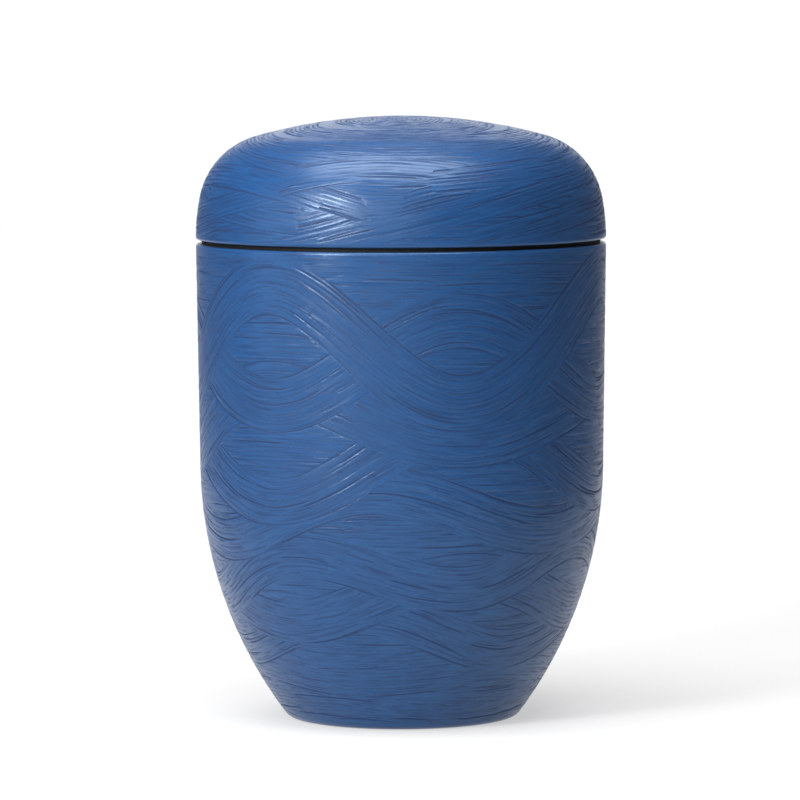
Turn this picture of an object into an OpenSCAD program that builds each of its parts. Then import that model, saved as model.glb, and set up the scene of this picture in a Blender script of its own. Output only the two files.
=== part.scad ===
// Funeral urn: a hollow flared vessel with a domed lid that lifts off.
// Millimetres, +Z up, origin at the centre of the foot's underside.
// Every piece is a revolve about Z, and its outline is a chain of tangent arcs.

/* [Body] */
// Outer diameter of the body at its rim
body_d = 209.4; // [206:0.2:216]
// Height of the shoulder that the seal ring lies on
body_h = 243; // [220:1:270]
// Height where the straight wall turns into the flare
flare_h = 128.5; // [100:0.5:160]
// Lean of the straight wall towards the foot, in degrees
wall_lean = 0.78; // [0:0.02:2]
// Diameter of the flat that the urn stands on
foot_d = 111.2; // [90:0.2:140]
// Radius of the round edge between the flat and the flare
foot_edge_r = 6; // [4:0.5:12]

/* [Lid] */
// Outer diameter of the lid at its lower edge
lid_d = 209.6; // [206:0.2:216]
// Height of the lid from its lower edge to its top
lid_h = 62.5; // [58:0.5:68]
// Radius of the crown, the flat top of the dome
crown_r = 277; // [250:1:300]
// Radius of the shoulder between the crown and the skirt
lid_shoulder_r = 40; // [36:0.5:44]
// Radius of the skirt, which ends upright at the lower edge
skirt_r = 110; // [90:1:130]
// Inner diameter of the flange turned in at the lower edge
flange_d = 201.2; // [200.6:0.1:202]

/* [Wall] */
// Thickness of the sheet together with its coat
wall = 2; // [1.5:0.1:3]
// Radius of the outer edges on both sides of the seam
edge_r = 1.5; // [0.4:0.1:1.8]

/* [Neck] */
// Outer diameter of the neck that stands up inside the lid
neck_d = 200; // [196:0.2:200]
// Height of the neck above the shoulder
neck_h = 12; // [6:0.5:20]
// Thickness of the neck
neck_wall = 1.6; // [1:0.1:2.4]

/* [Seal] */
// Thickness of the seal ring, which is also the gap at the seam
seal_h = 2; // [1:0.1:3]
// Outer diameter of the seal ring
seal_d = 203.6; // [203:0.1:205]
// Clearance between the neck and the seal ring
seal_gap = 0.15; // [0.1:0.05:0.5]
// Angle round the urn of the joint where the strip's ends meet
joint_angle = 193; // [0:1:359]
// Slant of that joint away from the upright, in degrees
joint_slant = 74; // [0:1:75]
// Opening left between the strip's two ends
joint_gap = 0.8; // [0.2:0.1:1]

/* [Hidden] */
$fn = 180;

coat_colour = [0.18, 0.32, 0.55];
seal_colour = [0.05, 0.05, 0.05];

// Segments that stand for each large arc and for each small edge
arc_steps = 28;
edge_steps = 6;

// The flare arc is tangent to the straight wall, and the foot's edge is tangent to both
// the flare and the flat, which leaves one radius for the flare.
foot_r = foot_d / 2;
rim_z = body_h - edge_r;
flare_top = [body_d / 2 - (rim_z - flare_h) * tan(wall_lean), flare_h];
rise = flare_h - foot_edge_r;
run = foot_r - flare_top.x;
flare_r = (run ^ 2 + rise ^ 2 - foot_edge_r ^ 2)
    / (-2 * (run * cos(wall_lean) + rise * sin(wall_lean) + foot_edge_r));
flare_c = flare_top + flare_r * [-cos(wall_lean), sin(wall_lean)];
foot_c = [foot_r, foot_edge_r];
flare_end = atan2(foot_c.y - flare_c.y, foot_c.x - flare_c.x);

// The lid's three arcs hang together like two links between the crown's centre and the
// skirt's centre, so the cosine rule gives the angles where they meet.
lid_z = body_h + seal_h;
skirt_c = [lid_d / 2 - skirt_r, lid_z];
crown_c = [0, lid_z + lid_h - crown_r];
crown_link = crown_r - lid_shoulder_r;
skirt_link = skirt_r - lid_shoulder_r;
span = skirt_c - crown_c;
link_angle = acos((span * span + crown_link ^ 2 - skirt_link ^ 2)
    / (2 * norm(span) * crown_link));
crown_end = atan2(span.y, span.x) - link_angle;
lid_shoulder_c = crown_c + crown_link * [cos(crown_end), sin(crown_end)];
skirt_end = atan2(lid_shoulder_c.y - skirt_c.y, lid_shoulder_c.x - skirt_c.x);

// Points along an arc, from one angle to the other
function arc(centre, radius, from, to, steps) =
    [for (i = [0:steps])
        let (a = from + (to - from) * i / steps)
        centre + radius * [cos(a), sin(a)]];

// Body outline from the axis up to the top of the flare, moved in by a distance
function flared(inset) = concat(
    [[0, inset]],
    arc(foot_c, foot_edge_r - inset, -90, flare_end, edge_steps),
    arc(flare_c, flare_r - inset, flare_end, -wall_lean, arc_steps));

// Lid outline from the skirt up to the axis, moved in by a distance
function domed(inset) = concat(
    arc(skirt_c, skirt_r - inset, 0, skirt_end, edge_steps),
    arc(lid_shoulder_c, lid_shoulder_r - inset, skirt_end, crown_end, arc_steps),
    arc(crown_c, crown_r - inset, crown_end, 90, arc_steps));

// The same points from last to first
function reversed(points) = [for (i = [len(points) - 1:-1:0]) points[i]];

// Vessel with a flat base, a shoulder turned in at the rim, and an upright neck
module body() {
    neck_r = neck_d / 2;
    neck_top = body_h + neck_h;
    neck_in = neck_r - neck_wall;
    ceiling = body_h - wall;
    wall_in = body_d / 2 - wall / cos(wall_lean);
    rim_edge = arc([body_d / 2 - edge_r, rim_z], edge_r, 0, 90, edge_steps);
    neck = [[neck_r, body_h], [neck_r, neck_top], [neck_in, neck_top], [neck_in, ceiling]];
    color(coat_colour)
    rotate_extrude()
    polygon(concat(flared(0), rim_edge, neck, [[wall_in, ceiling]], reversed(flared(wall))));
}

// Hollow dome with a flange turned in at its lower edge
module lid() {
    lid_r = lid_d / 2;
    flange_r = flange_d / 2;
    flange_top = lid_z + wall;
    low_edge = arc([lid_r - edge_r, lid_z + edge_r], edge_r, -90, 0, edge_steps);
    // The domes are cut level at the top of the flange, above the small lower edge
    outer = [for (p = domed(0)) if (p.y > lid_z + edge_r) p];
    inner = [for (p = domed(wall)) if (p.y > flange_top) p];
    flange = [[lid_r - wall, flange_top], [flange_r, flange_top], [flange_r, lid_z]];
    color(coat_colour)
    rotate_extrude()
    polygon(concat(low_edge, outer, reversed(inner), flange));
}

// Square-cut strip bent into a ring, with its ends meeting in a slanted joint
module seal_ring() {
    inner_r = neck_d / 2 + seal_gap;
    outer_r = seal_d / 2;
    color(seal_colour)
    difference() {
        translate([0, 0, body_h])
        rotate_extrude()
        translate([inner_r, 0])
        square([outer_r - inner_r, seal_h]);

        rotate([0, 0, joint_angle])
        translate([(inner_r + outer_r) / 2, 0, body_h + seal_h / 2])
        rotate([-joint_slant, 0, 0])
        cube([8, joint_gap, 8 * seal_h], center = true);
    }
}

body();
lid();
seal_ring();
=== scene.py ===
"""Funeral urn with a hand-combed, painted coat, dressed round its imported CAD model.

Sizes are in metres in Blender. The coat's relief is worked out in millimetres, on two
coordinates: azimuth, in degrees from the front (-Y) towards +X, and drop, the distance
along the outline from the seam, down the body or up the lid.
"""
import math

import bmesh
import bpy
import numpy as np
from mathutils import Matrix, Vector


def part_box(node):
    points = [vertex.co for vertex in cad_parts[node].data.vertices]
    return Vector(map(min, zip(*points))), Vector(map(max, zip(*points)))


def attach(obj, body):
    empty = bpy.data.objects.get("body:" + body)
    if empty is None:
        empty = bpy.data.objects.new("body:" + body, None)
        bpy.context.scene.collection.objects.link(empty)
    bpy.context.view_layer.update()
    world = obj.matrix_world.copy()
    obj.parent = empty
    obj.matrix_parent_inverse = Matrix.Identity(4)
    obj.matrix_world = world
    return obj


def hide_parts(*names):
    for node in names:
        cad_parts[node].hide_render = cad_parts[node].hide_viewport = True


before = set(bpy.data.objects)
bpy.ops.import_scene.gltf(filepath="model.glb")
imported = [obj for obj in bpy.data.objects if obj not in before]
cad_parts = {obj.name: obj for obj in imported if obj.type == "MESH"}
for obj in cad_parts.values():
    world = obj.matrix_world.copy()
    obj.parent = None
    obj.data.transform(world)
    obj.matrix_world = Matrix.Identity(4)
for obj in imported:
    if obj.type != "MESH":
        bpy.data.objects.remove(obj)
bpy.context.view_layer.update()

MM = 0.001
# Vertices closer than this, in metres, are one
WELD = 1e-6
# A point closer to the axis than this, in mm, counts as lying on it
AXIS = 0.3
# Heights closer than this, in mm, are the same
SAME_LEVEL = 0.01

# The outline is followed in steps of this many mm
OUTLINE_STEP = 0.1
# Columns round the urn: fine ones under the relief, and coarse ones where it is plain
PLAIN_COLUMNS = 176
FINE_PER_PLAIN = 6
ROW_STEP = 0.35
# The combed skin is thinned out until its piece has this many triangles
TRIANGLES = 196000

# The relief starts this far from the seam, and is full after the fade
BODY_PLAIN = 2.2
LID_PLAIN = 1.6
SEAM_FADE = 2.5
# At the foot it starts at this height and is full after the fade
FOOT_PLAIN = 1.0
FOOT_FADE = 5.0
# The outline is upright this far from the seam, so drop is measured from there
SEAM_MARK = 3.0

# Comb marks, in mm: how far apart they are, how wide and how deep
PITCH = 1.35
FINE_WIDTH = 0.30
FINE_DEPTH = 0.05
DEEP_WIDTH = 0.36
DEEP_DEPTH = 0.16
DEEP_SHARE = 0.3
# The low lip on both sides of a mark: its height, place and width, as shares of the mark's
LIP = 0.22
LIP_PLACE = 1.9
LIP_WIDTH = 0.9
# The first mark lies this far inside a stroke's edge, and the edge's own line this far
FIRST_MARK = 0.7
LAST_MARK = 0.5
EDGE_LINE = 0.55
# The edge line's depth as a share of a deep mark's, and how dark it is from darker paint and
# painted shade
EDGE_DEPTH = 0.8
EDGE_TINT_AND_SHADE = 0.9
# Soft swells across a stroke: height and wavelength
SWELLS = ((0.03, 9.0), (0.022, 5.5), (0.016, 3.6))
# How swells, ridges and marks wander along a stroke, as sets of waves: how many times round
# the urn at least and at most, and how far in mm
SWELL_DRIFT = ((1, 5, 1.6),)
RIDGE_DRIFT = ((2, 6, 0.5), (9, 20, 0.1))
MARK_DRIFT = ((2, 7, 0.35), (12, 36, 0.09))
# How marks fade in and out along a stroke: their mean share and how far it swings
DEEP_FADE = (0.25, 0.85)
FINE_FADE = (0.48, 0.68)
EDGE_FADE = (0.35, 0.7)
# Rounded ridges along a stroke
RIDGE_PITCH = 2.3
BODY_RIDGE = 0.018
LID_RIDGE = 0.042
# How they grow and shrink along it: the mean share, its swing, and the least and the most
RIDGE_VIGOUR = (0.75, 0.4)
RIDGE_LIMITS = (0.15, 1.3)
# A stroke's edge: how softly it covers the one below, and the burr that it pushes up
EDGE_BLEND = 0.5
BURR = 0.02
BURR_WIDTH = 0.7
BURR_PLACE = 0.3
# A short stroke's end: how round it is, and how softly it fades out
END_ROUND = 0.8
END_FADE = 1.2
# Short strokes have their marks closer together
ARC_PITCH = 0.85
# Each wavy line round the urn is held at this many points
KNOTS = 2880
KNOT_AZIMUTH = np.arange(KNOTS) * 360 / KNOTS - 180

# How many times round the urn a fine mark fades in and out, at least and at most
BODY_BREAKS = (10, 40)
LID_BREAKS = (5, 24)

# A vertex this near the outer outline, in mm, belongs to the combed skin
COAT_NEAR = 0.9
# The slope of the relief is measured over this distance to each side, in mm
NUDGE = 0.22
# A plain corner sharper than this, in degrees, isn't shaded smooth
SHARP = 35

# Stroke coordinates: mm for each degree of azimuth, the radius that fits it, and the gap
# between two strokes' coordinates
MM_PER_DEGREE = 1.82
WALL_RADIUS = 104
STROKE_GAP = 60.0

# The first random seed of each set of strokes
LEVEL_TURNS_SEED = 100
LEVEL_SEED = 200
WAVE_SEED = 300
SKIRT_SEED = 400
BACK_SEED = 430
FRONT_SEED = 450
SHOULDER_SEED = 480
CROWN_SEED = 490
BACK_LAYOUT_SEED = 42

# The bake map's left margin and width. A triangle on the seam reaches a little past a whole
# turn, so the map has room for this many turns
BAKE_LEFT = 0.004
BAKE_WIDTH = 0.985
BAKE_TURNS = 1.01
# A plain face lower than this, in mm, is part of the flat underside
UNDER_TOP = 0.5
# The bake map's strips: where each starts in the square and how tall it is
COAT_STRIP = (0.25, 0.74)
PLAIN_STRIP = (0.04, 0.20)
UNDER_STRIP = (0.005, 0.025)

# The floor lies this far under the foot, so that their faces don't flicker
GAP = 0.0002

# The floor's glowing strip, painted light that makes it look white: half its width, how far it
# fades out, how it widens towards the back as the camera's view does, and how much it and the
# grey beyond it glow
PAPER_HALF = 0.28
PAPER_FADE = 0.55
PAPER_SPREAD = 0.12
PAPER_GLOW = 0.52
GREY_GLOW = 0.05


# ---------------------------------------------------------------- outline of the CAD nodes

def outline(node, from_top):
    """Radius and height in mm of the points round a revolved node's section, outer skin first."""
    bm = bmesh.new()
    bm.from_mesh(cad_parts[node].data)
    bmesh.ops.remove_doubles(bm, verts=bm.verts, dist=WELD)
    seam = {v for v in bm.verts if abs(v.co.y) < 10 * WELD and v.co.x > -WELD}
    near = {v: [e.other_vert(v) for e in v.link_edges if e.other_vert(v) in seam] for v in seam}
    ends = sorted((v for v in seam if len(near[v]) == 1), key=lambda v: v.co.z)
    chain = [ends[-1] if from_top else ends[0]]
    while True:
        onward = [v for v in near[chain[-1]] if v not in chain]
        if not onward:
            break
        chain.append(onward[0])
    points = np.array([(v.co.x / MM, v.co.z / MM) for v in chain])
    bm.free()
    return points


def smooth_run(points):
    """The outline through these points, with its facets rounded off, in small steps."""
    legs = np.diff(points, axis=0)
    length = np.hypot(legs[:, 0], legs[:, 1])
    heading = np.unwrap(np.arctan2(legs[:, 1], legs[:, 0]))
    at = np.r_[0, np.cumsum(length)]
    where = []
    turn = []
    for i in range(len(legs)):
        before = length[i - 1] if i else length[i]
        after = length[i + 1] if i + 1 < len(legs) else length[i]
        where += [at[i] + min(length[i], before) / 2, at[i + 1] - min(length[i], after) / 2]
        turn += [heading[i], heading[i]]
    # Past the first and last half segment the outline goes on turning at the same rate
    where = [0.0] + where + [at[-1]]
    first = heading[0] - (heading[1] - heading[0]) / 2
    last = heading[-1] + (heading[-1] - heading[-2]) / 2
    turn = [first] + turn + [last]
    run = np.linspace(0, at[-1], int(at[-1] / OUTLINE_STEP) + 1)
    angle = np.interp(run, where, turn)
    middle = (angle[1:] + angle[:-1]) / 2
    hop = np.diff(run)
    radius = points[0, 0] + np.r_[0, np.cumsum(np.cos(middle) * hop)]
    height = points[0, 1] + np.r_[0, np.cumsum(np.sin(middle) * hop)]
    share = run / run[-1]
    radius += share * (points[-1, 0] - radius[-1])
    height += share * (points[-1, 1] - height[-1])
    return {"run": run, "radius": radius, "height": height, "angle": angle}


def on_outline(path, run):
    """Radius, height and the outward normal's two parts at these runs along an outline."""
    radius = np.interp(run, path["run"], path["radius"])
    height = np.interp(run, path["run"], path["height"])
    angle = np.interp(run, path["run"], path["angle"]) - math.pi / 2
    return radius, height, np.cos(angle) * path["side"], np.sin(angle) * path["side"]


# ---------------------------------------------------------------- comb strokes

def smoothstep(x):
    x = np.clip(x, 0, 1)
    return x * x * (3 - 2 * x)


def eased(turns, azimuth):
    """A closed wave through its turning points, level at each of them."""
    where = np.array([t[0] for t in turns], float)
    value = np.array([t[1] for t in turns], float)
    order = np.argsort(where)
    where = where[order]
    value = value[order]
    where = np.r_[where[-1] - 360, where, where[0] + 360]
    value = np.r_[value[-1], value, value[0]]
    i = np.clip(np.searchsorted(where, azimuth) - 1, 0, len(where) - 2)
    t = (azimuth - where[i]) / (where[i + 1] - where[i])
    return value[i] + (value[i + 1] - value[i]) * (1 - np.cos(math.pi * t)) / 2


def ripple(rng, low, high):
    """A closed curve of small waves round the urn, about 1 high, at each knot."""
    count = 4
    angle = np.linspace(0, 2 * math.pi, KNOTS, endpoint=False)
    total = np.zeros(KNOTS)
    for _ in range(count):
        total += np.sin(rng.integers(low, high + 1) * angle + rng.uniform(0, 2 * math.pi))
    return total / math.sqrt(count / 2)


def wander(rng, waves):
    """A closed curve that adds up several sets of waves, each in its own size."""
    return sum(size * ripple(rng, low, high) for low, high, size in waves)


def faded(rng, mean, swing, low, high):
    """The share of its full depth that a mark has at each knot."""
    return np.clip(mean + swing * ripple(rng, low, high), 0, 1)


def knot_of(azimuth):
    """The number of the knot nearest each azimuth."""
    return np.rint((azimuth + 180) * KNOTS / 360).astype(int) % KNOTS


class Stroke:
    """One pass of the comb. Its middle line is at a given drop for each azimuth."""

    def __init__(self, middle, half, seed, depth=1.0, ends=None, scale=1.0,
                 ridge=BODY_RIDGE, breaks=BODY_BREAKS):
        self.middle = middle
        self.slope = np.gradient(np.r_[middle[-1], middle, middle[0]])[1:-1] * KNOTS / 360
        self.half = half
        self.seed = seed
        self.depth = depth
        self.ends = ends
        self.scale = scale
        self.ridge = ridge
        self.breaks = breaks

    def across(self, azimuth, drop, radius):
        """Distance from the middle line and the share of a full mark at each point."""
        knot = knot_of(azimuth)
        per_degree = np.maximum(radius, 1.0) * math.pi / 180
        slope = self.slope[knot] / per_degree
        v = (drop - self.middle[knot]) / np.sqrt(1 + slope ** 2)
        if self.ends is None:
            return v, np.ones_like(v)
        middle, reach = self.ends
        away = np.abs((azimuth - middle + 180) % 360 - 180)
        left = (reach - away) * per_degree
        sag = 1 - np.sqrt(np.clip(1 - (v / self.half) ** 2, 0, 1))
        return v, np.clip((left - self.half * sag * END_ROUND) / END_FADE, 0, 1)


class Ring(Stroke):
    """A pass of the comb round a point near the lid's top."""

    def __init__(self, centre, radius, half, seed):
        super().__init__(np.zeros(KNOTS), half, seed, ridge=LID_RIDGE, breaks=LID_BREAKS)
        self.centre = centre
        self.radius = radius

    def plan(self, azimuth, apex_run):
        """Distance from the ring's centre, and the direction from there, at each point."""
        x = apex_run * np.sin(np.radians(azimuth)) - self.centre[0]
        y = -apex_run * np.cos(np.radians(azimuth)) - self.centre[1]
        return np.hypot(x, y), np.degrees(np.arctan2(x, -y))


def comb(stroke, azimuth, v):
    """Height of one stroke's marks, and how much darker paint and painted shade each point has in
    its grooves, from 0 to 1.
    """
    rng = np.random.default_rng(stroke.seed)
    knot = knot_of(azimuth)
    height = np.zeros_like(v)
    tint_and_shade = np.zeros_like(v)
    # Soft swells across the stroke, from the pressure of the hand
    for size, length in SWELLS:
        drift = wander(rng, SWELL_DRIFT)
        phase = rng.uniform(0, 6.28)
        swell = np.sin(2 * math.pi * (v + drift[knot]) / length + phase)
        height += size * stroke.depth * swell
    # Rounded ridges left between the comb's teeth
    drift = wander(rng, RIDGE_DRIFT)
    vigour = RIDGE_VIGOUR[0] + RIDGE_VIGOUR[1] * ripple(rng, 3, 9)
    vigour = np.clip(vigour, *RIDGE_LIMITS)
    ridges = np.cos(2 * math.pi * (v + drift[knot]) / RIDGE_PITCH)
    height += stroke.ridge * vigour[knot] * ridges
    # Darker paint and painted shade in the valleys between them, more so where the ridges are
    # high
    valley_tint_and_shade = 0.15 + 0.4 * stroke.ridge / LID_RIDGE
    tint_and_shade += valley_tint_and_shade * vigour[knot] * np.clip(-ridges, 0, 1) ** 3
    lane = -stroke.half + FIRST_MARK
    while lane < stroke.half - LAST_MARK:
        deep = rng.random() < DEEP_SHARE
        drift = wander(rng, MARK_DRIFT)
        if deep:
            fade = faded(rng, *DEEP_FADE, 3, 12)
            width = DEEP_WIDTH * rng.uniform(0.8, 1.25)
            depth = DEEP_DEPTH * rng.uniform(0.6, 1.3)
        else:
            fade = faded(rng, *FINE_FADE, *stroke.breaks)
            width = FINE_WIDTH * rng.uniform(0.8, 1.3)
            depth = FINE_DEPTH * rng.uniform(0.5, 1.5)
        across = v - lane - drift[knot]
        near = np.abs(across) < 4 * width
        x = across[near] / width
        share = fade[knot[near]] * stroke.depth
        mark = np.exp(-x ** 2)
        lip = np.exp(-((np.abs(x) - LIP_PLACE) / LIP_WIDTH) ** 2)
        height[near] -= depth * share * (mark - LIP * lip)
        # Deeper marks are darker, with darker paint and painted shade
        tint_and_shade_share = 0.35 + 0.65 * depth / DEEP_DEPTH
        tint_and_shade[near] = np.maximum(tint_and_shade[near], share * mark * tint_and_shade_share)
        lane += PITCH * stroke.scale * rng.uniform(0.55, 1.5)
    # The comb's outer teeth leave a longer line just inside each edge
    for side in (-1, 1):
        fade = faded(rng, *EDGE_FADE, 2, 9)
        x = (v - side * (stroke.half - EDGE_LINE)) / DEEP_WIDTH
        share = fade[knot] * stroke.depth * np.exp(-x ** 2)
        height -= EDGE_DEPTH * DEEP_DEPTH * share
        # The edge line's darker paint and painted shade
        tint_and_shade = np.maximum(tint_and_shade, share * EDGE_TINT_AND_SHADE)
    return height, tint_and_shade


def relief(strokes, azimuth, drop, radius, apex_run):
    """Height in mm, the grooves' share of darker paint and painted shade, and the top stroke's
    number at each point.
    """
    height = np.zeros_like(drop)
    tint_and_shade = np.zeros_like(drop)
    number = np.zeros(drop.shape, np.int32)
    for n, stroke in enumerate(strokes):
        if isinstance(stroke, Ring):
            reach, turn = stroke.plan(azimuth, apex_run)
            v = reach - stroke.radius
            share = np.ones_like(v)
        else:
            turn = azimuth
            v, share = stroke.across(azimuth, drop, radius)
        near = np.flatnonzero((np.abs(v) < stroke.half + 3 * BURR_WIDTH) & (share > 0))
        if not len(near):
            continue
        vn = v[near]
        share = share[near]
        inside = smoothstep((stroke.half - np.abs(vn)) / EDGE_BLEND + 0.5) * share
        marks, marks_tint_and_shade = comb(stroke, turn[near], vn)
        height[near] = height[near] * (1 - inside) + marks * inside
        tint_and_shade[near] = tint_and_shade[near] * (1 - inside) + marks_tint_and_shade * inside
        edge = np.abs(vn) - stroke.half - BURR_PLACE
        height[near] += BURR * stroke.depth * share * np.exp(-(edge / BURR_WIDTH) ** 2)
        number[near[inside > 0.5]] = n + 1
    return height, tint_and_shade, number


def wave(turns, half, seed, depth=1.0):
    """A long stroke all the way round the urn, through its turning points."""
    return Stroke(eased(turns, KNOT_AZIMUTH), half, seed, depth)


def arc(azimuth, drop, reach, tilt, bow, half, seed):
    """A short stroke about a middle, with its reach each way in degrees and the rest in mm."""
    away = (KNOT_AZIMUTH - azimuth + 180) % 360 - 180
    share = away / reach
    middle = drop + tilt * share - bow * share ** 2
    return Stroke(middle, half, seed, ends=(azimuth, reach), scale=ARC_PITCH,
                  ridge=LID_RIDGE, breaks=LID_BREAKS)


def body_strokes():
    """Level strokes, then waves. Both go from the foot up, so each covers the one below."""
    strokes = []
    for i, drop in enumerate(range(248, 0, -26)):
        rng = np.random.default_rng(LEVEL_TURNS_SEED + i)
        turns = []
        for azimuth in range(-150, 180, 60):
            turns.append((azimuth + rng.uniform(-14, 14), drop + rng.uniform(-2.2, 2.2)))
        strokes.append(wave(turns, 14.5, LEVEL_SEED + i, 0.9))
    # Half width, and the turning points' azimuth and drop
    layout = [
        (12, [(-120, 238), (-40, 233), (30, 238), (100, 232), (170, 237)]),
        (13, [(-70, 212), (-20, 218), (38, 212), (90, 219), (150, 211), (-140, 219)]),
        (12, [(-75, 206), (-13, 182), (37, 204), (92, 184), (150, 204), (-150, 184)]),
        (12.5, [(-100, 164), (-37, 188), (18, 162), (75, 186), (130, 160), (-172, 186)]),
        (12.5, [(-80, 180), (-32, 151), (18, 169), (62, 146),
                (115, 174), (160, 150), (-155, 176), (-117, 152)]),
        (12.5, [(-118, 121), (-62, 146), (-8, 118), (46, 141), (110, 118), (170, 144)]),
        (12.5, [(-95, 90), (-38, 126), (17, 86), (75, 124), (135, 88), (-162, 125)]),
        (13.5, [(-98, 112), (-38, 68), (17, 94), (76, 72), (135, 100), (-165, 70)]),
        (14, [(-95, 38), (-38, 77), (16, 34), (73, 76), (133, 38), (-167, 77)]),
        (14.5, [(-97, 78), (-39, 18), (17, 75), (77, 15), (137, 72), (-160, 20)]),
    ]
    for i, (half, turns) in enumerate(layout):
        strokes.append(wave(turns, half, WAVE_SEED + i))
    return strokes


def lid_strokes():
    """Short strokes round the skirt, longer ones over the shoulder, and rings about the top."""
    strokes = [
        wave([(-180, 8), (-90, 6), (0, 9), (90, 7)], 11, SKIRT_SEED),
        wave([(-150, 24), (-60, 22), (30, 26), (120, 23)], 11, SKIRT_SEED + 1),
    ]
    for i, (radius, half) in enumerate(((88, 10), (74, 9))):
        strokes.append(Ring((0, -18), radius, half, SHOULDER_SEED + i))
    front = [
        # azimuth, drop, reach, tilt, bow, half width
        (-52, 12, 26, 3, 3, 7),
        (58, 15, 40, 11, 2, 6.5),
        (-22, 13, 13, 6, -1, 7),
        (-21, 24, 12, -5.5, 1, 6),
        (24, 28, 24, 2, 6, 7),
        (28, 22, 52, 19, 3, 7),
        (-46, 14, 17, -4, -1, 6),
        (-60, 19, 27, 9, -1, 6),
        (-58, 35, 36, -4, 7, 7.5),
        (-7, 41, 31, 1, 8, 8),
        (48, 40, 40, 7, 0, 7),
    ]
    rng = np.random.default_rng(BACK_LAYOUT_SEED)
    for i in range(14):
        azimuth = 98 + i * 12.5 + rng.uniform(-5, 5)
        drop = (12, 34, 22)[i % 3] + rng.uniform(-3, 3)
        reach = rng.uniform(24, 40)
        tilt = rng.uniform(-9, 9)
        bow = rng.uniform(-2, 6)
        strokes.append(arc(azimuth, drop, reach, tilt, bow, 7, BACK_SEED + i))
    for i, shape in enumerate(front):
        strokes.append(arc(*shape, FRONT_SEED + i))
    # Centre, radius and half width
    crown = [((6, -14), 57, 8), ((-6, -20), 45, 9), ((5, -17), 30, 9.5), ((-3, -21), 13, 12)]
    for i, (centre, radius, half) in enumerate(crown):
        strokes.append(Ring(centre, radius, half, CROWN_SEED + i))
    return strokes


# ---------------------------------------------------------------- meshes

def swept(path, run, azimuth, height):
    """Points of an outline turned to each azimuth and raised along its normal."""
    radius, level, out, up = on_outline(path, run)
    reach = radius + height * out
    turn = np.radians(azimuth)
    return np.stack([reach * np.sin(turn), -reach * np.cos(turn), level + height * up], -1) * MM


def bridge(fine, coarse):
    """Triangles between a ring of fine columns and the ring of plain columns beside it."""
    ratio = len(fine) // len(coarse)
    faces = []
    for c in range(len(coarse)):
        ahead = (c + 1) % len(coarse)
        for k in range(ratio):
            i = c * ratio + k
            j = (i + 1) % len(fine)
            faces.append((fine[i], fine[j], coarse[c] if k < ratio // 2 else coarse[ahead]))
        faces.append((fine[c * ratio + ratio // 2], coarse[ahead], coarse[c]))
    return np.array(faces)


def skin_faces(index, height):
    """Two triangles for each cell of the combed skin's grid."""
    ahead = np.roll(index, -1, 1)
    a, b, c, d = index[:-1], ahead[:-1], ahead[1:], index[1:]
    ahead = np.roll(height, -1, 1)
    ha, hb, hc, hd = height[:-1], ahead[:-1], ahead[1:], height[1:]
    # Each cell is split between its two more level corners, so that grooves stay unbroken
    level = (np.abs(ha - hc) < np.abs(hb - hd))[..., None]
    first = np.where(level, np.stack([a, b, c], -1), np.stack([a, b, d], -1))
    second = np.where(level, np.stack([a, c, d], -1), np.stack([b, c, d], -1))
    return [first.reshape(-1, 3), second.reshape(-1, 3)]


def mesh_object(name, points, faces):
    """An object made of these points and triangles."""
    mesh = bpy.data.meshes.new(name)
    mesh.vertices.add(len(points))
    mesh.vertices.foreach_set("co", points.ravel().astype(np.float32))
    mesh.loops.add(faces.size)
    mesh.loops.foreach_set("vertex_index", faces.ravel().astype(np.int32))
    mesh.polygons.add(len(faces))
    mesh.polygons.foreach_set("loop_start", np.arange(0, faces.size, 3, dtype=np.int32))
    mesh.update(calc_edges=True)
    obj = bpy.data.objects.new(name, mesh)
    bpy.context.scene.collection.objects.link(obj)
    return obj


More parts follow.
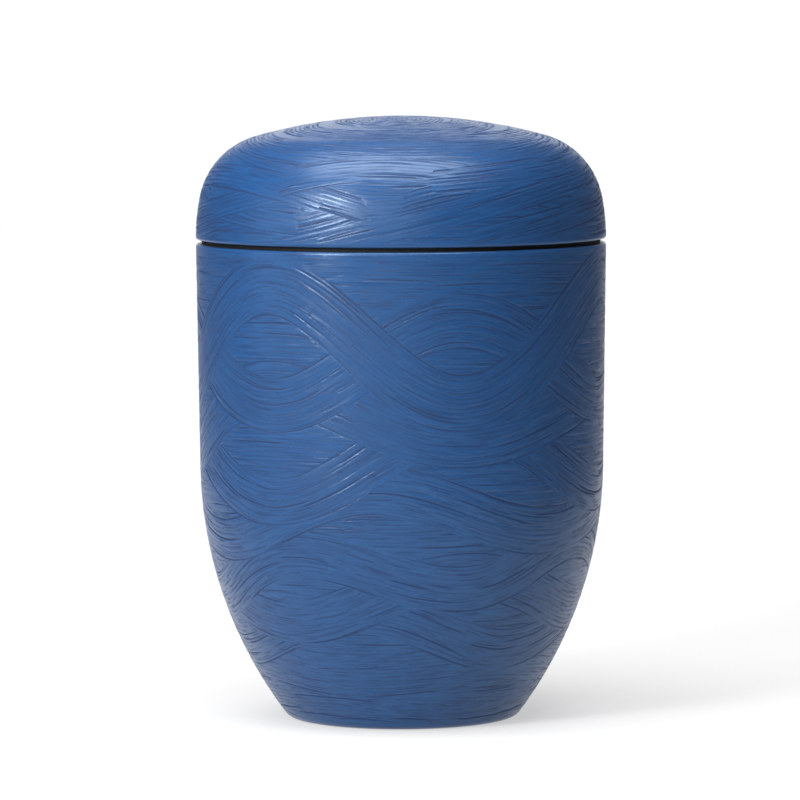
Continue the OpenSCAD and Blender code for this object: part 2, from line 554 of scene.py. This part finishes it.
def urn_shell(name, path, plain, strokes, drop_of, fade_of, closed_top):
    """A closed mesh: the combed outer skin on fine columns, and the rest on plain ones."""
    columns = PLAIN_COLUMNS * FINE_PER_PLAIN
    rows = int(path["run"][-1] / ROW_STEP) + 1
    run = np.linspace(0, path["run"][-1], rows)
    if closed_top:
        run = run[1:]
        rows -= 1
    azimuth = np.arange(columns) * 360 / columns - 180
    grid_run, grid_azimuth = np.meshgrid(run, azimuth, indexing="ij")
    flat_run = grid_run.ravel()
    flat_azimuth = grid_azimuth.ravel()
    height = coat_height(path, strokes, drop_of, fade_of, flat_run, flat_azimuth)[0]
    points = swept(path, flat_run, flat_azimuth, height)
    index = np.arange(rows * columns).reshape(rows, columns)
    faces = skin_faces(index, height.reshape(rows, columns))
    points = [points]
    count = rows * columns
    if closed_top:
        apex = count
        points.append(np.array([[0, 0, path["height"][0] * MM]]))
        count += 1
        around = np.roll(index[0], -1)
        faces.append(np.stack([np.full(columns, apex), around, index[0]], -1))
    rings = []
    turn = np.radians(np.arange(PLAIN_COLUMNS) * 360 / PLAIN_COLUMNS - 180)
    for radius, level_z in plain:
        if radius < AXIS:
            points.append(np.array([[0, 0, level_z * MM]]))
            rings.append(np.array([count]))
            count += 1
            continue
        level = np.full(PLAIN_COLUMNS, level_z)
        ring = np.stack([radius * np.sin(turn), -radius * np.cos(turn), level], -1)
        points.append(ring * MM)
        rings.append(np.arange(count, count + PLAIN_COLUMNS))
        count += PLAIN_COLUMNS
    faces.append(bridge(index[-1], rings[0]))
    for low, high in zip(rings, rings[1:]):
        if len(high) == 1:
            faces.append(np.stack([low, np.roll(low, -1), np.full(len(low), high[0])], -1))
        else:
            faces.append(np.stack([low, np.roll(low, -1), np.roll(high, -1)], -1))
            faces.append(np.stack([low, np.roll(high, -1), high], -1))
    if not closed_top:
        hub = count
        points.append(np.array([[0, 0, path["height"][0] * MM]]))
        faces.append(np.stack([index[0], np.full(columns, hub), np.roll(index[0], -1)], -1))
    faces = np.concatenate(faces)
    if path["side"] < 0:
        faces = faces[:, ::-1]
    obj = mesh_object(name, np.concatenate(points), faces)
    # The skin's last row borders on the plain rings, so it isn't thinned
    thin_out(obj, (rows - 1) * columns)
    return obj


def coat_height(path, strokes, drop_of, fade_of, run, azimuth):
    """The relief at points of an outline, faded out at its plain ends."""
    drop = drop_of(run)
    radius = np.interp(run, path["run"], path["radius"])
    height, tint_and_shade, number = relief(strokes, azimuth, drop, radius, run)
    fade = fade_of(run)
    return height * fade, tint_and_shade * fade, number


def thin_out(obj, coat_points):
    """Collapses the combed skin's level stretches, and keeps every other part as it is."""
    mesh = obj.data
    group = obj.vertex_groups.new(name="coat")
    group.add(list(range(coat_points)), 1.0, "REPLACE")
    thin = obj.modifiers.new("thin", "DECIMATE")
    thin.decimate_type = "COLLAPSE"
    thin.ratio = min(1.0, TRIANGLES / len(mesh.polygons))
    thin.vertex_group = group.name
    thin.use_collapse_triangulate = True
    depsgraph = bpy.context.evaluated_depsgraph_get()
    thinned = bpy.data.meshes.new_from_object(obj.evaluated_get(depsgraph))
    obj.modifiers.clear()
    obj.vertex_groups.clear()
    obj.data = thinned
    bpy.data.meshes.remove(mesh)
    thinned.name = obj.name


def places_of(mesh):
    """The mesh's vertices in mm."""
    co = np.zeros(len(mesh.vertices) * 3, np.float32)
    mesh.vertices.foreach_get("co", co)
    return co.reshape(-1, 3).astype(float) / MM


def run_on(path, radius, height):
    """The run along an outline nearest each point, and how far the point is from there."""
    # Every twentieth point of the outline gives a first guess, which is then refined
    coarse = slice(None, None, 20)
    order = np.argsort(path["height"][coarse])
    run = np.interp(height, path["height"][coarse][order], path["run"][coarse][order])
    for _ in range(8):
        r, z, out, up = on_outline(path, run)
        forward_r = -up * path["side"]
        forward_z = out * path["side"]
        ahead = (radius - r) * forward_r + (height - z) * forward_z
        run = np.clip(run + ahead, 0, path["run"][-1])
    r, z, out, up = on_outline(path, run)
    return run, np.hypot(radius - r, height - z)


def dress_coat(obj, path, plain, strokes, drop_of, fade_of, materials):
    """Gives the thinned mesh its normals, the grooves' darker paint and painted shade, stroke
    coordinates and bake map.
    """
    mesh = obj.data
    co = places_of(mesh)
    radius = np.hypot(co[:, 0], co[:, 1])
    azimuth = np.degrees(np.arctan2(co[:, 0], -co[:, 1]))
    run, away = run_on(path, radius, co[:, 2])
    coat = away < COAT_NEAR
    corner = np.zeros(len(mesh.loops), np.int32)
    mesh.loops.foreach_get("vertex_index", corner)
    faces = corner.reshape(-1, 3)
    coat_face = coat[faces].all(1)

    def field(run_, azimuth_):
        return coat_height(path, strokes, drop_of, fade_of, run_, azimuth_)

    tint_and_shade, number = field(run, azimuth)[1:]
    # Darker paint and painted shade in the grooves, kept on the vertices
    groove_tint_and_shade = mesh.attributes.new("groove_tint_and_shade", "FLOAT", "POINT")
    groove_tint_and_shade.data.foreach_set("value", np.where(coat, tint_and_shade, 0).astype(np.float32))
    top_stroke = np.median(number[faces], axis=1).astype(int)
    grain_map(mesh, faces, strokes, top_stroke, path, azimuth, run, drop_of)
    under = bake_map(mesh, faces, co, coat_face, azimuth, run, path, plain)

    mesh.polygons.foreach_set("use_smooth", np.ones(len(faces), bool))
    slot = np.where(coat_face | under, 0, 1).astype(np.int32)
    mesh.polygons.foreach_set("material_index", slot)
    for material in materials:
        mesh.materials.append(material)
    mark_sharp(mesh, coat_face)
    normal = coat_normals(path, field, run, azimuth)
    normal[~coat] = 0
    normal[coat & (radius < AXIS)] = (0, 0, -path["side"])
    mesh.normals_split_custom_set_from_vertices(normal.tolist())
    mesh.update()


def coat_normals(path, field, run, azimuth):
    """The combed skin's own normals, taken from the relief and not from the thinned mesh."""
    radius, _, out, up = on_outline(path, run)
    turn_by = NUDGE / (np.maximum(radius, 0.5) * math.pi / 180)
    rise = (field(run + NUDGE, azimuth)[0] - field(run - NUDGE, azimuth)[0]) / (2 * NUDGE)
    lean = (field(run, azimuth + turn_by)[0] - field(run, azimuth - turn_by)[0]) / (2 * NUDGE)
    normal_r = out + rise * up * path["side"]
    normal_z = up - rise * out * path["side"]
    turn = np.radians(azimuth)
    normal_x = normal_r * np.sin(turn) - lean * np.cos(turn)
    normal_y = -normal_r * np.cos(turn) - lean * np.sin(turn)
    normal = np.stack([normal_x, normal_y, normal_z], -1)
    return normal / np.linalg.norm(normal, axis=1)[:, None]


def unwound(angle):
    """Each triangle's three azimuths, moved by whole turns next to its first one."""
    return angle[:, :1] + (angle - angle[:, :1] + 180) % 360 - 180


def grain_map(mesh, faces, strokes, top_stroke, path, azimuth, run, drop_of):
    """Stroke coordinates: along and across the comb, from one stroke for each face."""
    radius = np.interp(run, path["run"], path["radius"])
    face_azimuth = unwound(azimuth[faces])
    face_drop = drop_of(run)[faces]
    along = face_azimuth.copy()
    across = np.zeros(faces.shape)
    for n, stroke in enumerate(strokes):
        mine = np.flatnonzero(top_stroke == n + 1)
        if not len(mine):
            continue
        if isinstance(stroke, Ring):
            reach, turn = stroke.plan(face_azimuth[mine], run[faces][mine])
            across[mine] = reach - stroke.radius
            along[mine] = unwound(turn) * stroke.radius / WALL_RADIUS
        else:
            middle = stroke.across(face_azimuth[mine], face_drop[mine], radius[faces][mine])
            across[mine] = middle[0]
    grain = np.stack([along * MM_PER_DEGREE, across + STROKE_GAP * top_stroke[:, None]], -1)
    layer = mesh.uv_layers.new(name="grain")
    layer.data.foreach_set("uv", (grain / 100).ravel().astype(np.float32))


def mark_sharp(mesh, coat_face):
    """Marks the plain parts' corners, such as the neck's, as sharp."""
    bm = bmesh.new()
    bm.from_mesh(mesh)
    bm.faces.ensure_lookup_table()
    for edge in bm.edges:
        if len(edge.link_faces) != 2:
            continue
        plain = [f for f in edge.link_faces if not coat_face[f.index]]
        edge.smooth = not plain or edge.calc_face_angle(0) < math.radians(SHARP)
    bm.to_mesh(mesh)
    bm.free()


def bake_map(mesh, faces, co, coat_face, azimuth, run, path, plain):
    """A map for baking: the coat unrolled over most of the square, the plain parts below it.

    Returns which faces are the flat underside, which the coat covers too.
    """
    radius = np.hypot(co[:, 0], co[:, 1])
    corner = azimuth[faces]
    # A corner on the axis takes the azimuth between its triangle's other two
    on_axis = radius[faces] < AXIS
    first = np.argmin(on_axis, axis=1)
    base = corner[np.arange(len(faces)), first][:, None]
    corner = base + (corner - base + 180) % 360 - 180
    others = (corner * ~on_axis).sum(1) / np.maximum((~on_axis).sum(1), 1)
    corner = np.where(on_axis, others[:, None], corner)
    u = (corner + 180) / 360
    u += (u.min(1) < 0)[:, None]
    u = BAKE_LEFT + BAKE_WIDTH * u / BAKE_TURNS
    chain = np.array([(path["radius"][-1], path["height"][-1])] + list(plain))
    legs = np.diff(chain, axis=0)
    length = np.hypot(legs[:, 0], legs[:, 1])
    at = np.r_[0, np.cumsum(length)]
    mine = np.unique(faces[~coat_face])
    gap = np.stack([radius[mine], co[mine, 2]], -1)[:, None] - chain[None, :-1]
    share = np.clip((gap * legs).sum(-1) / length ** 2, 0, 1)
    away = np.hypot(*np.moveaxis(gap - share[..., None] * legs, -1, 0))
    best = np.argmin(away, axis=1)
    picked = np.arange(len(mine))
    strip = np.zeros(len(co))
    strip[mine] = (at[best] + share[picked, best] * length[best]) / at[-1]
    under = (co[faces][:, :, 2] < UNDER_TOP).all(1) & ~coat_face
    coat_v = COAT_STRIP[0] + COAT_STRIP[1] * run[faces] / path["run"][-1]
    plain_v = PLAIN_STRIP[0] + PLAIN_STRIP[1] * strip[faces]
    # The lid's outline starts on the axis, and it has no underside
    foot = max(path["radius"][0], AXIS)
    under_v = UNDER_STRIP[0] + UNDER_STRIP[1] * radius[faces] / foot
    v = np.where(coat_face[:, None], coat_v, plain_v)
    v = np.where(under[:, None], under_v, v)
    layer = mesh.uv_layers.new(name="OFBake")
    layer.data.foreach_set("uv", np.stack([u, v], -1).ravel().astype(np.float32))
    return under


# ---------------------------------------------------------------- materials

def new_material(name):
    material = bpy.data.materials.new(name)
    material.use_nodes = True
    tree = material.node_tree
    return material, tree, tree.nodes["Principled BSDF"]


def put(tree, value, socket):
    """Links an output to a socket, or sets the socket to a number or a colour."""
    if isinstance(value, bpy.types.NodeSocket):
        tree.links.new(value, socket)
    elif isinstance(value, tuple):
        socket.default_value = (*value, 1)
    else:
        socket.default_value = value


def object_place(tree):
    return tree.nodes.new("ShaderNodeTexCoord").outputs["Object"]


def noise(tree, vector, scale, detail=2.0, roughness=0.5):
    node = tree.nodes.new("ShaderNodeTexNoise")
    put(tree, vector, node.inputs["Vector"])
    put(tree, scale, node.inputs["Scale"])
    put(tree, detail, node.inputs["Detail"])
    put(tree, roughness, node.inputs["Roughness"])
    return node.outputs["Fac"]


def ranged(tree, value, low, high, start=0.0, end=1.0, smooth=False):
    """The value mapped from start and end to low and high."""
    node = tree.nodes.new("ShaderNodeMapRange")
    if smooth:
        node.interpolation_type = "SMOOTHSTEP"
    put(tree, value, node.inputs["Value"])
    put(tree, start, node.inputs["From Min"])
    put(tree, end, node.inputs["From Max"])
    put(tree, low, node.inputs["To Min"])
    put(tree, high, node.inputs["To Max"])
    return node.outputs["Result"]


def blended(tree, factor, first, second):
    """Two colours mixed by a factor. Each is a colour or an output."""
    node = tree.nodes.new("ShaderNodeMix")
    node.data_type = "RGBA"
    put(tree, factor, node.inputs["Factor"])
    put(tree, first, node.inputs["A"])
    put(tree, second, node.inputs["B"])
    return node.outputs["Result"]


def computed(tree, operation, *values):
    """A Math node's result."""
    node = tree.nodes.new("ShaderNodeMath")
    node.operation = operation
    for value, socket in zip(values, node.inputs):
        put(tree, value, socket)
    return node.outputs["Value"]


def scaled(tree, vector, scale):
    node = tree.nodes.new("ShaderNodeMapping")
    node.inputs["Scale"].default_value = scale
    put(tree, vector, node.inputs["Vector"])
    return node.outputs["Vector"]


def bumped(tree, height, distance, strength, normal=None):
    node = tree.nodes.new("ShaderNodeBump")
    put(tree, height, node.inputs["Height"])
    put(tree, distance, node.inputs["Distance"])
    put(tree, strength, node.inputs["Strength"])
    if normal is not None:
        put(tree, normal, node.inputs["Normal"])
    return node.outputs["Normal"]


def coat_material():
    """Satin blue paint, darker and less glossy in the comb's grooves, from paint that has run
    into them and from painted shade.
    """
    deep_blue = (0.0105, 0.051, 0.150)
    pale_blue = (0.0125, 0.059, 0.172)
    fibre_blue = (0.0050, 0.026, 0.090)
    speck_blue = (0.0070, 0.036, 0.115)
    groove_tint_and_shade_blue = (0.0012, 0.016, 0.070)
    material, tree, shader = new_material("combed_coat")
    place = object_place(tree)
    grain = tree.nodes.new("ShaderNodeUVMap")
    grain.uv_map = "grain"
    groove_tint_and_shade = tree.nodes.new("ShaderNodeAttribute")
    groove_tint_and_shade.attribute_name = "groove_tint_and_shade"
    # Long streaks that follow the comb
    streak = scaled(tree, grain.outputs["UV"], (3.0, 120.0, 1.0))
    cloud = noise(tree, place, 9.0, 3.0)
    speck = noise(tree, place, 900.0, 3.0)
    fibre = noise(tree, streak, 1.0, 3.0, 0.6)
    fibre_share = ranged(tree, fibre, 0.0, 0.75, 0.50, 0.66)
    speck_share = ranged(tree, speck, 0.0, 0.3, 0.45, 0.65)
    # Darker paint and painted shade in the grooves
    tint_and_shade_share = ranged(tree, groove_tint_and_shade.outputs["Fac"], 0.0, 0.95, 0.0, 0.75)
    base = blended(tree, cloud, deep_blue, pale_blue)
    base = blended(tree, fibre_share, base, fibre_blue)
    base = blended(tree, speck_share, base, speck_blue)
    base = blended(tree, tint_and_shade_share, base, groove_tint_and_shade_blue)
    put(tree, base, shader.inputs["Base Color"])
    gloss = ranged(tree, cloud, 0.25, 0.30)
    put(tree, computed(tree, "MULTIPLY_ADD", tint_and_shade_share, 0.4, gloss), shader.inputs["Roughness"])
    put(tree, (0.70, 0.84, 1.0), shader.inputs["Specular Tint"])
    normal = bumped(tree, speck, 0.00006, 0.5)
    normal = bumped(tree, fibre, 0.00008, 0.5, normal)
    put(tree, normal, shader.inputs["Normal"])
    return material


def steel_material():
    """Bare sheet steel inside the urn, drawn round its axis."""
    dull_grey = (0.42, 0.43, 0.45)
    pale_grey = (0.56, 0.57, 0.58)
    material, tree, shader = new_material("inner_steel")
    place = object_place(tree)
    drawn = noise(tree, scaled(tree, place, (8.0, 8.0, 1400.0)), 1.0, 4.0)
    cloud = noise(tree, place, 30.0, 3.0)
    put(tree, blended(tree, cloud, dull_grey, pale_grey), shader.inputs["Base Color"])
    put(tree, 1.0, shader.inputs["Metallic"])
    put(tree, ranged(tree, drawn, 0.26, 0.42), shader.inputs["Roughness"])
    put(tree, bumped(tree, drawn, 0.00004, 0.4), shader.inputs["Normal"])
    return material


def rubber_material():
    """Matte black rubber for the seal ring."""
    dark_black = (0.003, 0.003, 0.003)
    pale_black = (0.005, 0.005, 0.005)
    material, tree, shader = new_material("seal_rubber")
    cloud = noise(tree, object_place(tree), 160.0, 4.0)
    put(tree, blended(tree, cloud, dark_black, pale_black), shader.inputs["Base Color"])
    put(tree, ranged(tree, cloud, 0.55, 0.75), shader.inputs["Roughness"])
    put(tree, 0.15, shader.inputs["Specular IOR Level"])
    put(tree, bumped(tree, cloud, 0.00005, 0.5), shader.inputs["Normal"])
    return material


def paper_material():
    """Matte paper with a glowing strip of painted light under and behind the urn, which makes it
    look white there; grey beyond.
    """
    grey = (0.32, 0.32, 0.32)
    dull_strip_paper = (0.305, 0.305, 0.305)
    pale_strip_paper = (0.315, 0.315, 0.315)
    material, tree, shader = new_material("sweep_paper")
    place = object_place(tree)
    split = tree.nodes.new("ShaderNodeSeparateXYZ")
    put(tree, place, split.inputs["Vector"])
    aside = computed(tree, "ABSOLUTE", split.outputs["X"])
    aside = computed(tree, "MULTIPLY_ADD", split.outputs["Y"], -PAPER_SPREAD, aside)
    share = ranged(tree, aside, 1.0, 0.0, PAPER_HALF, PAPER_HALF + PAPER_FADE, smooth=True)
    cloud = noise(tree, place, 3.0, 2.0)
    strip_paper = blended(tree, cloud, dull_strip_paper, pale_strip_paper)
    put(tree, blended(tree, share, grey, strip_paper), shader.inputs["Base Color"])
    # Painted light: the strip glows, which makes it white and lifts the shadows on it
    put(tree, ranged(tree, share, GREY_GLOW, PAPER_GLOW), shader.inputs["Emission Strength"])
    put(tree, (1.0, 1.0, 1.0), shader.inputs["Emission Color"])
    put(tree, 0.9, shader.inputs["Roughness"])
    put(tree, 0.1, shader.inputs["Specular IOR Level"])
    return material


# ---------------------------------------------------------------- the urn's pieces

def build_body(coat, steel):
    """The vessel: its skin from the foot to the shoulder, and its neck and inside plain."""
    points = outline("body", from_top=False)
    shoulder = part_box("seal_ring")[0].z / MM
    top = int(np.argmax(points[:, 1] > shoulder - SAME_LEVEL))
    path = smooth_run(points[:top + 1])
    path["side"] = 1
    mark_run = np.interp(shoulder - SEAM_MARK, path["height"], path["run"])

    def drop_of(run):
        return mark_run + SEAM_MARK - run

    def fade_of(run):
        level = np.interp(run, path["run"], path["height"])
        below_seam = smoothstep((drop_of(run) - BODY_PLAIN) / SEAM_FADE)
        return below_seam * smoothstep((level - FOOT_PLAIN) / FOOT_FADE)

    plain = [tuple(p) for p in points[top + 1:]]
    plain.append((0.0, points[-1, 1]))
    strokes = body_strokes()
    obj = urn_shell("urn_body", path, plain, strokes, drop_of, fade_of, closed_top=False)
    dress_coat(obj, path, plain, strokes, drop_of, fade_of, (coat, steel))
    return obj


def build_lid(coat, steel):
    """The lid: its skin from the apex to the lower edge, and its flange and inside plain."""
    points = outline("lid", from_top=True)
    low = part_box("lid")[0].z / MM
    bottom = int(np.argmax(points[:, 1] < low + SAME_LEVEL))
    path = smooth_run(points[:bottom + 1])
    path["side"] = -1
    mark_run = np.interp(-(low + SEAM_MARK), -path["height"], path["run"])

    def drop_of(run):
        return mark_run + SEAM_MARK - run

    def fade_of(run):
        return smoothstep((drop_of(run) - LID_PLAIN) / SEAM_FADE)

    plain = [tuple(p) for p in points[bottom + 1:]]
    strokes = lid_strokes()
    obj = urn_shell("urn_lid", path, plain, strokes, drop_of, fade_of, closed_top=True)
    dress_coat(obj, path, plain, strokes, drop_of, fade_of, (coat, steel))
    return obj


def build_urn():
    """Body and lid in place of their CAD nodes, and the CAD's own seal ring."""
    coat = coat_material()
    steel = steel_material()
    body = build_body(coat, steel)
    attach(body, "root")
    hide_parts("body")
    lid = build_lid(coat, steel)
    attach(lid, "root")
    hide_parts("lid")
    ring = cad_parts["seal_ring"]
    ring.data.materials.clear()
    ring.data.materials.append(rubber_material())


# ---------------------------------------------------------------- studio

def build_floor():
    """A paper sweep that curves up far behind the urn; its strip of painted glow fades to grey at
    both sides.
    """
    front = -8.0
    back = 3.3
    bend = 1.4
    height = 4.0
    half = 8.0
    steps = 20
    profile = [(front, -GAP), (0.0, -GAP), (back, -GAP)]
    for i in range(1, steps + 1):
        angle = math.pi / 2 * i / steps
        profile.append((back + bend * math.sin(angle), bend * (1 - math.cos(angle)) - GAP))
    profile.append((back + bend, height))
    bm = bmesh.new()
    left = [bm.verts.new((-half, y, z)) for y, z in profile]
    right = [bm.verts.new((half, y, z)) for y, z in profile]
    for i in range(len(profile) - 1):
        bm.faces.new((left[i], right[i], right[i + 1], left[i + 1]))
    mesh = bpy.data.meshes.new("studio_sweep")
    bm.to_mesh(mesh)
    bm.free()
    mesh.shade_smooth()
    mesh.materials.append(paper_material())
    sweep = bpy.data.objects.new("studio_sweep", mesh)
    bpy.context.scene.collection.objects.link(sweep)


def softbox(name, place, size, watts, spread=180, target=(0, 0, 0.17)):
    """A soft rectangular light that is aimed at the urn's middle, or at another target."""
    light = bpy.data.lights.new(name, "AREA")
    light.shape = "RECTANGLE"
    light.size, light.size_y = size
    light.energy = watts
    light.spread = math.radians(spread)
    obj = bpy.data.objects.new(name, light)
    obj.visible_camera = False
    obj.location = place
    aim = Vector(target) - Vector(place)
    obj.rotation_euler = aim.to_track_quat("-Z", "Y").to_euler()
    bpy.context.scene.collection.objects.link(obj)


def build_lights():
    """A key from the left, a top light and weak fills, and two lights for the sweep."""
    softbox("key", (-1.23, -1.42, 0.90), (0.54, 0.60), 47)
    softbox("top", (-0.12, -0.33, 1.5), (1.5, 0.95), 36)
    softbox("fill", (-0.18, -2.1, 0.95), (1.2, 1.0), 7.5)
    softbox("left_fill", (-2.0, -0.5, 0.6), (1.0, 1.2), 4)
    softbox("far_floor", (0.0, 2.0, 2.6), (1.8, 1.4), 21, spread=80, target=(0, 2.05, 0))
    softbox("backdrop", (0.0, 2.7, 2.9), (2.6, 1.0), 53, spread=110, target=(0, 4.6, 1.0))
    world = bpy.data.worlds.new("studio")
    world.use_nodes = True
    background = world.node_tree.nodes["Background"]
    background.inputs["Color"].default_value = (1.0, 1.0, 1.0, 1.0)
    background.inputs["Strength"].default_value = 0.16
    bpy.context.scene.world = world


def build_camera():
    """A long lens a little above the lid, tilted down and rolled as in the photo."""
    tilt_down = 4.49
    roll = 0.21
    data = bpy.data.cameras.new("camera")
    data.lens = 242.1
    data.sensor_width = 36.0
    camera = bpy.data.objects.new("camera", data)
    bpy.context.scene.collection.objects.link(camera)
    camera.location = (0.0, -2.7469, 0.3778)
    camera.rotation_euler = (math.radians(90 - tilt_down), math.radians(roll), 0.0)
    bpy.context.scene.camera = camera


build_urn()
build_floor()
build_lights()
build_camera()
bpy.context.scene.view_settings.view_transform = "Standard"
